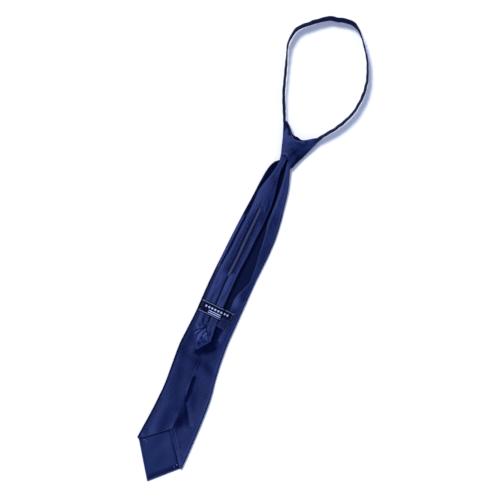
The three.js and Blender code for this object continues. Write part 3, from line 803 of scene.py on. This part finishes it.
# Height of the tail's bands: rounded, pulled in along the zip's stitching and creased at its point
def tailRelief(x, y):
    slit = slitAt(y)
    away = np.abs(x - slit) - slitHalf(y)
    edge = np.where(x < slit, slit - column(tail["rows"], "left", y), column(tail["rows"], "right", y) - slit)
    share = np.clip(away / edge, 0, 1)
    rounded = 0.55 * np.sin(math.pi * share)
    byZip = blend(y, 326, 334) * (1 - blend(y, 440, 452))
    pulled = -0.16 * (1.6 + 0.6 * ripples(y, y, 9, 9, 29)) * np.exp(-(((away - 2.6) / 1.0) ** 2)) * byZip
    point = 1 - blend(y, 238, 262)
    soft = 0.20 * ripples(x, y, 8, 34, 21, 9) * np.sin(math.pi * share)
    creased = drawnFolds(x, y, tail["creases"]) + 0.20 * ripples(x, y, 6, 9, 23)
    return rounded + pulled + soft + creased * point


# Painted shade into the slit, painted highlights along its right lip and the left outline, and painted highlights and
# painted shade over some stretches
def tailShade(x, y):
    outer = column(tail["rows"], "left", y)
    away = x - slitAt(y)
    slit = -lerp(1.5, 0.5, blend(y, 408, 436)) * np.exp(-((np.abs(away) - slitHalf(y)) / 1.1) ** 2)
    lip = 1.1 * np.exp(-((away - slitHalf(y) - 1.8) / 1.1) ** 2) * (1 - blend(y, 328, 340))
    outline = 0.7 * np.exp(-((x - outer - 2.6) / 1.5) ** 2) * blend(y, 300, 340)
    topLeft = 0.8 * blend(y, 425, 445) * (1 - blend(y, 482, 494)) * (away < 0)
    topRight = -0.55 * blend(y, 408, 430) * blend(away, 3, 9)
    low = 0.45 * (1 - blend(y, 318, 345)) * blend(y, 262, 284)
    return slit + lip + outline + topLeft + topRight + low


tailShape = {
    "left": reading(tail["rows"], "left"), "right": reading(tail["rows"], "right"),
    "leftFlap": lambda y: slitAt(y) - slitHalf(y), "rightFlap": lambda y: slitAt(y) + slitHalf(y),
    "lift": tailLift, "deep": lambda y: np.full(np.shape(y), tail["thick"]),
    "reliefL": tailRelief, "reliefR": tailRelief, "reliefFront": lambda x, y: np.zeros(np.shape(x)),
    "shade": tailShade,
}
tailPiece = addPiece("tail_cloth", foldedCloth(tailShape, tail["end"], tail["cut"]), tailCloth, "tie_cloth", "tail")

tailLining = {
    "side": 2.4, "corner": 2.0, "point": 4.6, "above": 8, "rim": 1.3, "hemShade": 0.1,
    "base": 7.1, "thick": 0.6, "size": 0.8,
    # puckers raised with painted highlights and sunk with painted shade
    "folds": [  # puckers that run up to the right
        ([(-14, 231.5), (-10.3, 239)], 1.6, 1.2, 1.2), ([(-8.4, 222), (-6.8, 234.5), (-1.9, 244)], 1.8, 1.5, 1.5),
        ([(-2.2, 232.5), (1.7, 237.3)], 1.3, 1.2, 1.2), ([(-11.7, 233), (-6.9, 240.4), (-2.5, 245.8)], -2.0, 1.0, 1.0),
        ([(-4, 235.7), (-0.6, 242.9)], -1.8, 0.9, 0.9), ([(-0.3, 244.6), (8.2, 230.7)], -1.6, 1.0, 1.0),
        ([(-6, 220), (4, 226)], -0.5, 3.0, 3.0)],
}


def tailLiningRelief(x, y):
    lift = 0.6 + 0.10 * ripples(x, y, 6, 8, 31) + 0.3 * drawnFolds(x, y, tailLining["folds"])
    return np.clip(lift, 0, 1.6)


tailLiningPiece = addPiece("tail_lining", liningPanel(tailShape, tail["end"], tailLining, tailLiningRelief),
                           tailLiningCloth, "tipping_cloth", "tail_tipping")


# Zip: two tapes with a coil of interlocked nylon teeth between them
coil = {"pitch": 0.86, "long": 4.4, "thick": 0.95, "offset": 0.5, "sunk": 0.15, "slant": 0.22, "sides": 8, "end": 1.0}


def zipTapeShape():
    y = np.linspace(zipper["bottom"], zipper["top"], 110)[:, None]
    across = np.linspace(-1, 1, 25)[None] * zipper["tapeHalf"]
    cord = 0.55 * np.exp(-((np.abs(across) - 3.1) / 0.5) ** 2)  # the coil's core makes a ridge at each side of it
    z = tailLift(y) + zipper["bed"] + zipper["tapeWall"] / 2 + cord
    grid = np.stack(np.broadcast_arrays(chainAt(y) + across, y, z), -1)[:, ::-1]
    return clothWall(grid, zipper["tapeWall"], np.stack(np.broadcast_arrays(across, y), -1)[:, ::-1])


def coilShape():
    y = np.arange(zipper["bottom"] + coil["end"], zipper["top"] - coil["end"], coil["pitch"])
    hand = np.where(np.arange(len(y)) % 2, 1.0, -1.0)
    z = tailLift(y) + zipper["bed"] + zipper["rise"] - coil["thick"] / 2 - coil["sunk"]
    centres = np.c_[chainAt(y) + hand * coil["offset"], y, z]
    directions = np.c_[np.ones(len(y)), hand * coil["slant"], np.zeros(len(y))]
    upward = np.tile([0, 0, 1.0], (len(y), 1))
    return threadBeads(centres, directions, upward, coil["long"], coil["thick"], coil["sides"])


tapePiece = addPiece("zip_tape", zipTapeShape(), tapeCloth, "zip_tape", "zip_chain")
coilPiece = addPiece("zip_coil", coilShape(), coilNylon, "zip_tape")


# Keeper label: bowed over the tail, its short ends sewn down
label = {"x": 3, "y": 273.5, "length": 52, "width": 19, "turn": -4, "ramp": 4.2, "wall": 0.7, "low": 0.3, "high": 4.3}


def placed(piece, along, across):  # from a turned piece's own middle to the tie's measures
    turn = math.radians(piece["turn"])
    return (piece["x"] + along * math.cos(turn) - across * math.sin(turn),
            piece["y"] + along * math.sin(turn) + across * math.cos(turn))


def labelHeight(x, y):  # middle of the ribbon
    sideRelief = np.where(x < 0, leftFlapRelief(x, y), rightFlapRelief(x, y))
    low = bladeTop(y) + label["low"] + label["wall"] / 2 + np.maximum(sideRelief, 0)
    high = bladeTop(y) + label["high"] + label["wall"] / 2
    outside = np.maximum(column(tail["rows"], "left", y) - x, x - column(tail["rows"], "right", y))
    return lerp(high, low, blend(outside, 0, label["ramp"]))


def labelShape():
    along = np.linspace(-label["length"] / 2, label["length"] / 2, 110)[None]
    across = np.linspace(-label["width"] / 2, label["width"] / 2, 34)[:, None]
    x, y = placed(label, along, across)
    gathered = 0.14 * np.sin(across * 2.1 + along * 0.35) * np.exp(-((abs(along) - 21) / 5) ** 2)
    uneven = 0.18 * np.clip(ripples(x, y, 12, 20, 41), -1, 1) * blend(abs(along), 26, 20)
    edges = -0.30 * np.exp(-((abs(across) - label["width"] / 2) / 0.7) ** 2) * blend(abs(along), 6, 16)
    z = labelHeight(x, y) + gathered + uneven + edges
    grid = np.stack([x, y, z], -1)[:, ::-1]
    flat = np.stack(np.broadcast_arrays(along, across), -1)[:, ::-1]
    return clothWall(grid, label["wall"], flat)


labelPiece = addPiece("label_ribbon", labelShape(), ribbon, "label_cloth", "keeper_label")

# Folded end of the label's ribbon, which shows below its right part
hemTab = {"x": 19.8, "y": 261.0, "width": 17, "length": 15, "turn": -5, "bend": 0.45, "layer": 0.42, "wall": 0.5}


def hemTabShape():
    across = np.linspace(0.5, -0.5, 22)[None] * hemTab["width"]
    arc = np.linspace(0, 1, 40)[:, None]  # under layer, fold at the lower end, upper layer
    half, bend, layer = hemTab["length"] / 2, hemTab["bend"], hemTab["layer"]
    isUnder, isUpper = arc < layer, arc > 1 - layer
    angle = (arc - layer) / (1 - 2 * layer) * math.pi
    upper = lerp(-half, half, (arc - 1 + layer) / layer)
    down = np.where(isUnder, lerp(half, -half, arc / layer), np.where(isUpper, upper, -half - bend * np.sin(angle)))
    lift = np.where(isUnder, 0, np.where(isUpper, 2 * bend, bend * (1 - np.cos(angle))))
    x, y = placed(hemTab, across, down)
    base = bladeTop(y) + bend + np.maximum(rightFlapRelief(np.maximum(x, 19), y), -0.3)
    z = base + lift + 0.12 * np.sin(across * 0.35) ** 2
    flat = np.stack(np.broadcast_arrays(across, arc * 4 * half + 40), -1)
    return clothWall(np.stack([x, y, z], -1), hemTab["wall"], flat)


tabPiece = addPiece("label_hem", hemTabShape(), hemCloth, "label_cloth")


# Knot
knot = {
    "rows": table(
        "y left right front back",
        (512, 8.8, 28.4, 3.8, 17), (526, 7.0, 34.8, 1.8, 18.8), (538, 3.9, 40.4, 0.4, 20), (550, 0.4, 46, 0, 20.4),
        (562, -3.0, 50.6, 0.5, 18.6), (568, -4.6, 53.2, 1.6, 16.8), (574, -6.5, 56.8, 3, 15.2),
        (582, -9, 60, 4, 14)),
    "edges": table(
        "y rim hem",
        (-1, 577.5, 520.5), (-0.9, 577.5, 521.5), (-0.79, 573.8, 522.5), (-0.65, 567.8, 524.8), (-0.5, 561.4, 525.5),
        (-0.2, 555.8, 525.2), (0.05, 555.8, 524), (0.3, 558.8, 521), (0.5, 562.8, 518), (0.84, 570.4, 514.5),
        (1, 573, 513.5)),
    "wall": 1.0, "roll": 0.7, "turnIn": 7, "squareness": 2.4, "frontRimRise": 4.6, "columns": 220, "levels": 64,
    "oblong": (22, 9), "lowering": 0.48,
    "backFolds": [
        ([(1.5, 566), (3.4, 551), (8, 536), (9, 527)], 0.6, 3.0, 3.0),  # bright fold down the left side
        ([(17.5, 524), (22, 533), (26.5, 543), (27, 552)], -0.5, 3.0, 5.0),  # crease up from the hem
        ([(10, 558), (16, 556.5), (24, 555.5), (32, 557)], 0.45, 2.4, 2.2),  # rolled rim
        ([(9, 530), (15, 531), (19, 527)], 0.9, 1.4, 2.6),  # pinch over the tail
        ([(30, 556), (42, 561), (54, 566)], 0.4, 3.0, 4.0),  # right arm
        ([(14, 548), (24, 540), (34, 527)], -0.35, 6.0, 7.0),
        ([(-3, 572), (4, 562), (12, 556)], -0.35, 2.5, 3.0),
    ],
    # painted shade where negative and painted highlights where positive, on the knot's back
    "shade": [
        ([(17.8, 524), (22, 533), (26.3, 543)], -0.5, 2.0, 2.0),
        ([(3, 560), (7, 545), (10, 530)], 0.55, 5.0, 5.0), ([(9, 527), (15, 527.5), (22, 525)], -0.9, 1.3, 1.3),
        ([(-4, 577), (1, 571.5), (5.5, 565.5), (9.5, 560.5)], -1.5, 2.0, 2.0),
        ([(27.5, 514), (33, 526), (38.5, 538), (44, 550)], -1.8, 2.4, 2.4),
        ([(28, 561), (40, 567), (52, 574)], -1.3, 2.2, 2.2), ([(20, 540), (30, 534), (37, 522)], -0.5, 4.0, 4.0),
    ],
    "frontFolds": [
        ([(2, 560), (14, 534), (18, 522)], 0.7, 2.0, 5.0), ([(46, 560), (34, 538), (28, 522)], 0.7, 5.0, 2.0),
        ([(24, 556), (23, 540), (21, 524)], -0.8, 4.0, 4.0)],
}


# Even steps round a rounded oblong: across and height, each from -1 to 1
def oblong(count, squareness, wide, deep):
    angle = np.linspace(0, 2 * math.pi, 20001)
    across, height = (np.sign(f) * np.abs(f) ** (2 / squareness) for f in (np.cos(angle), np.sin(angle)))
    length = np.r_[0, np.cumsum(np.hypot(np.diff(across) * wide, np.diff(height) * deep))]
    even = np.arange(count) / count * length[-1]
    return np.interp(even, length, across), np.interp(even, length, height)


def knotShape():
    across, height = oblong(knot["columns"], knot["squareness"], *knot["oblong"])
    hem, rim = column(knot["edges"], "hem", across), column(knot["edges"], "rim", across)
    rise = 1.2 * (1 - across ** 2) + knot["frontRimRise"] * np.exp(-((across + 0.16) / 0.34) ** 2)
    rim = rim + np.where(height < 0, rise, 0)
    roll, turned = knot["roll"], turnedHem(knot["roll"], knot["turnIn"], (1, 0.66, 0.33, 0))
    rowPlan = [(hem + step, inside) for step, inside in turned]
    rowPlan += [(lerp(hem + roll, rim - roll, level), 0) for level in np.linspace(0, 1, knot["levels"])]
    rowPlan += [(rim - step, inside) for step, inside in turned[::-1]]
    y, inward = unzip(rowPlan)
    side = {key: column(knot["rows"], key, y) for key in ("left", "right", "front", "back")}
    halfWide = (side["right"] - side["left"] - knot["wall"]) / 2 - inward
    halfDeep = (side["back"] - side["front"] - knot["wall"]) / 2 - inward
    x = (side["left"] + side["right"]) / 2 + halfWide * across
    z = (side["back"] + side["front"]) / 2 + halfDeep * height
    lower = knot["lowering"] * blend(across, -0.2, 1) * (1 - blend(y, 535, 578))  # towards the right
    z = lerp(z, side["front"], lower)
    onBack, onFront = blend(height, 0.2, 0.9), blend(-height, 0.2, 0.9)
    z = z + (drawnFolds(x, y, knot["backFolds"]) + 0.30 * ripples(x, y, 16, 22, 51)) * onBack
    z = z - np.minimum(drawnFolds(x, y, knot["frontFolds"]), 0) * onFront
    x = x + 0.3 * ripples(z, y, 14, 16, 53) * (1 - onBack - onFront) * np.sign(across)
    z = np.maximum(z, knot["wall"] / 2 + 0.02)
    grid = np.stack([x, y, z], -1)
    round_ = np.linalg.norm(np.diff(np.concatenate([grid, grid[:, :1]], 1), axis=1), axis=-1)
    u = np.c_[np.zeros(len(y)), np.cumsum(round_, 1)[:, :-1]]
    # painted shade and highlights on the back, and deep painted shade on the hem turned in round the openings
    shade = drawnFolds(x, y, knot["shade"]) * onBack - 2 * (inward > 1.2 * roll)
    return clothWall(grid, knot["wall"], np.stack([u, y], -1), True, shade)


knotPiece = addPiece("knot_wrap", knotShape(), knotCloth, "tie_cloth", "knot")


# Neck band: a folded strap on edge along a smooth route, its two long edges stitched
band = {
    "rows": table(
        "x y lean base width",
        (-0.6, 563, 20, 6, 8), (-5, 574, 20, 6.5, 8), (-12.9, 592, 20, 7, 9), (-23.2, 616.9, 15, 7, 10),
        (-35.2, 658, 10, 7, 10), (-43.6, 688, -7, 7.5, 10), (-38.2, 712.2, -26, 7.6, 10), (-20.4, 729.2, -37, 7.6, 10),
        (0.8, 744, -42, 7.6, 10), (11.8, 746.6, -42, 7.6, 10), (21, 749.2, -42, 7.6, 10), (38, 749, -34, 7.6, 10),
        (48.6, 742.4, -12, 7.6, 10), (60.8, 728.8, -3, 7.6, 10), (79.4, 698.5, 4, 7.5, 10), (88.2, 668, 12, 8, 10),
        (86.2, 630.2, 14, 7.5, 10), (71.4, 597.6, 20, 7, 10), (57, 578.6, 22, 6.5, 9), (48, 567, 24, 6, 8),
        (41, 559, 24, 6, 8)),
    "thick": 2.3, "steps": 460, "stitch": 2.7, "stitchGap": 0.9, "stitchEnd": 6, "seam": 1.3,
    "pinchAt": 0.70, "pinchWide": 0.09, "sway": 2.2, "wander": 0.22, "crumple": 0.16,
}


# Centripetal Catmull-Rom through the route's points, then even steps along it
def evenRoute(points, count):
    p = np.vstack([2 * points[0] - points[1], points, 2 * points[-1] - points[-2]])
    line, knots = [], []
    for k in range(1, len(p) - 2):
        d = [math.sqrt(np.linalg.norm(p[k + j] - p[k + j - 1])) for j in (0, 1, 2)]
        first = (p[k] - p[k - 1]) / d[0] - (p[k + 1] - p[k - 1]) / (d[0] + d[1]) + (p[k + 1] - p[k]) / d[1]
        second = (p[k + 1] - p[k]) / d[1] - (p[k + 2] - p[k]) / (d[1] + d[2]) + (p[k + 2] - p[k + 1]) / d[2]
        first, second = first * d[1], second * d[1]
        t = np.linspace(0, 1, 60, endpoint=k == len(p) - 3)[:, None]
        cubic = 2 * p[k] - 2 * p[k + 1] + first + second
        square = -3 * p[k] + 3 * p[k + 1] - 2 * first - second
        line.append(p[k] + first * t + square * t ** 2 + cubic * t ** 3)
        knots.append(k - 1 + t[:, 0])
    line, knots = np.vstack(line), np.concatenate(knots)
    length = np.r_[0, np.cumsum(np.linalg.norm(np.diff(line, axis=0), axis=1))]
    even = np.linspace(0, length[-1], count)
    route = np.stack([np.interp(even, length, line[:, axis]) for axis in (0, 1)], -1)
    return route, np.interp(even, length, knots), even


def bandFrame():
    rows = band["rows"]
    route, step, along = evenRoute(np.stack([rows["x"], rows["y"]], -1), band["steps"])
    index = {"y": np.arange(len(rows["x"]), dtype=float)}
    lean, base, width = (column({**index, key: rows[key]}, key, step) for key in ("lean", "base", "width"))
    free = blend(step, 2, 4) * (1 - blend(step, 16, 18))  # clear of the knot at both ends
    lean = np.radians(lean + band["sway"] * ripples(along, 0, 60, 60, 61) * free)
    ahead = unit(np.gradient(route, axis=0))
    outward = np.c_[-ahead[:, 1], ahead[:, 0], np.zeros(len(route))]
    sine, cosine, upright = np.sin(lean)[:, None], np.cos(lean)[:, None], np.array([0, 0, 1.0])
    up, face = outward * sine + upright * cosine, outward * cosine - upright * sine
    half = width / 2
    height = base + half * np.cos(lean) + band["thick"] / 2 * np.abs(np.sin(lean))
    aside = (band["wander"] * ripples(along, 0, 22, 22, 63) * free)[:, None]
    centre = np.c_[route + outward[:, :2] * aside, height]
    return centre, up, face, half, along, np.c_[ahead, np.zeros(len(route))]


def seamPinch(up):  # 1 where the strap's face is pinched along its seams
    return np.exp(-((abs(up) - band["pinchAt"]) / band["pinchWide"]) ** 2)


# The strap's section: how far up its face and how far out
def bandSection():
    up = np.linspace(-0.9, 0.9, 15)
    out = 0.92 - 0.30 * seamPinch(up)
    cap = np.linspace(0, math.pi, 7)[1:-1]
    capUp, capOut = 0.9 + 0.1 * np.sin(cap), 0.92 * np.cos(cap)
    return np.r_[up, capUp, up[::-1], -capUp], np.r_[out, capOut, -out[::-1], -capOut]


def bandShape():
    centre, up, face, half, along, _ = bandFrame()
    sectionUp, sectionOut = bandSection()
    crumple = band["crumple"] * ripples(along[:, None], sectionUp * 5, 13, 16, 65)
    rings = (centre[:, None] + up[:, None] * (sectionUp * half[:, None])[..., None]
             + face[:, None] * ((sectionOut + crumple) * band["thick"] / 2)[..., None])
    rings[..., 2] = np.maximum(rings[..., 2], 0.02)
    flat = np.stack(np.broadcast_arrays(sectionUp * half[:, None], along[:, None]), -1)
    # painted highlight along the strap's edges, painted shade along its seams
    crest = np.where(abs(sectionUp) > 0.88, 0.9, 0) - 0.6 * seamPinch(sectionUp)
    return ringTube(rings, flat, np.broadcast_to(crest, rings.shape[:2]))


def bandStitches():
    centre, up, face, half, along, ahead = bandFrame()
    places = np.arange(band["stitchEnd"], along[-1] - band["stitchEnd"], band["stitch"] + band["stitchGap"])
    centre, up, face, ahead = (np.stack([np.interp(places, along, part[:, axis]) for axis in range(3)], -1)
                               for part in (centre, up, face, ahead))
    high = np.interp(places, along, half)[:, None] - band["seam"]
    out = band["thick"] * 0.34  # in the hollow of the seam
    return sewn([(centre + up * edge * high + face * outer * out, ahead, face * outer)
                 for edge in (-1, 1) for outer in (-1, 1)], band["stitch"])


bandPiece = addPiece("neck_strap", bandShape(), strapCloth, "band_cloth", "neck_band")
bandSewing = addPiece("neck_strap_stitches", bandStitches(), threadDark, "band_cloth")


# Stitches on the tail and at the ends of the label, tacks on the zip and at the corners of the lining
sewing = {
    "tail": {"from": 330, "to": 446, "pitch": 3.4, "stitch": 2.5, "aside": 2.6, "lift": 0.02},
    "label": {"from": 1.2, "to": 1.0, "pitch": 2.3, "stitch": 1.7, "inset": 1.6},
    "zipTack": {"high": 3.5, "turn": 0, "count": 6, "spread": 0.34, "stitch": 3.2, "thick": 0.36},
    "corners": {"at": [(-27.6, 55.4, 55, 3), (-23.4, 54.2, -20, 2), (32.0, 38.2, -50, 3), (29.4, 33.6, 15, 2)],
                "spread": 0.6, "stitch": 2.2, "thick": 0.42},  # at: x, y, turn and count
}


def tailStitches():
    seam = sewing["tail"]
    y = np.arange(seam["from"], seam["to"], seam["pitch"])
    rows = []
    for hand in (-1, 1):
        x = slitAt(y) + hand * (slitHalf(y) + seam["aside"])
        rows.append(seamLine(x, y, tailLift(y) + tail["thick"] + tailRelief(x, y) + seam["lift"]))
    return sewn(rows, seam["stitch"])


def labelStitches():
    seam, half = sewing["label"], label["width"] / 2
    across = np.arange(seam["from"] - half, half - seam["to"], seam["pitch"])
    ends = [placed(label, end * (label["length"] / 2 - seam["inset"]), across) for end in (-1, 1)]
    return sewn([seamLine(x, y, labelHeight(x, y) + label["wall"] / 2) for x, y in ends], seam["stitch"])


# A bar tack: short stitches side by side
def barTack(x, y, z, turn, count, spread):
    turn = math.radians(turn)
    step = (np.arange(count) - (count - 1) / 2) * spread
    centres = np.c_[x - step * math.sin(turn), y + step * math.cos(turn), np.full(count, z)]
    directions = np.tile([math.cos(turn), math.sin(turn), 0], (count, 1))
    return centres, directions, np.tile([0, 0, 1.0], (count, 1))


def zipTackShape():
    tack, y = sewing["zipTack"], zipper["bottom"]
    row = barTack(slitAt(y), y, tailLift(y) + tack["high"], tack["turn"], tack["count"], tack["spread"])
    return sewn([row], tack["stitch"], tack["thick"])


def cornerTackShape():
    tack, top = sewing["corners"], bladeLining["base"] + bladeLining["thick"]
    return sewn([barTack(x, y, top + bladeLiningRelief(x, y), turn, count, tack["spread"])
                 for x, y, turn, count in tack["at"]], tack["stitch"], tack["thick"])


tailSewing = addPiece("tail_stitches", tailStitches(), threadNavy, "tie_cloth")
zipTack = addPiece("zip_tack", zipTackShape(), threadNavy, "tie_cloth")
cornerTacks = addPiece("corner_tacks", cornerTackShape(), threadPale, "tipping_cloth")
labelSewing = addPiece("label_stitches", labelStitches(), threadPale, "label_cloth")
print("sewing done")


# Pale floor and soft light
def setStudio():
    paint = newPaint("pale_floor")
    finish = paint.finish({}, {"Base Color": colour(*studio["floor"]), "Roughness": 0.9, "Specular IOR Level": 0.1})
    half = studio["floorSize"] / 2
    mesh = bpy.data.meshes.new("floor")
    mesh.from_pydata([(-half, -half, 0), (half, -half, 0), (half, half, 0), (-half, half, 0)], [], [(0, 1, 2, 3)])
    mesh.materials.append(finish)
    floor = bpy.data.objects.new("floor", mesh)
    floor.location.z = -0.0002
    bpy.context.scene.collection.objects.link(floor)

    light = bpy.data.lights.new("softbox", "SUN")  # a softbox far enough away to light the floor evenly
    light.energy, light.color, light.angle = studio["keyStrength"], studio["key"], math.radians(studio["keySpread"])
    lamp = bpy.data.objects.new("softbox", light)
    away = Vector(studio["keyFrom"])
    lamp.location = away
    lamp.rotation_mode = "QUATERNION"
    lamp.rotation_quaternion = away.to_track_quat("Z", "Y")
    bpy.context.scene.collection.objects.link(lamp)

    sky = Paint(bpy.data.worlds.new("room"))
    place = sky.node("ShaderNodeTexCoord", {}, {})
    up = sky.node("ShaderNodeSeparateXYZ", {}, {0: place}, 2)
    glow = sky.mix(up.clamped() ** 0.8, colour(*studio["horizon"]), colour(*studio["zenith"]))
    shine = sky.node("ShaderNodeBackground", {}, {"Color": glow, "Strength": studio["sky"]})
    sky.node("ShaderNodeOutputWorld", {}, {"Surface": shine})
    bpy.context.scene.world = sky.owner
    bpy.context.scene.view_settings.view_transform = "Standard"


setStudio()
print("studio set")
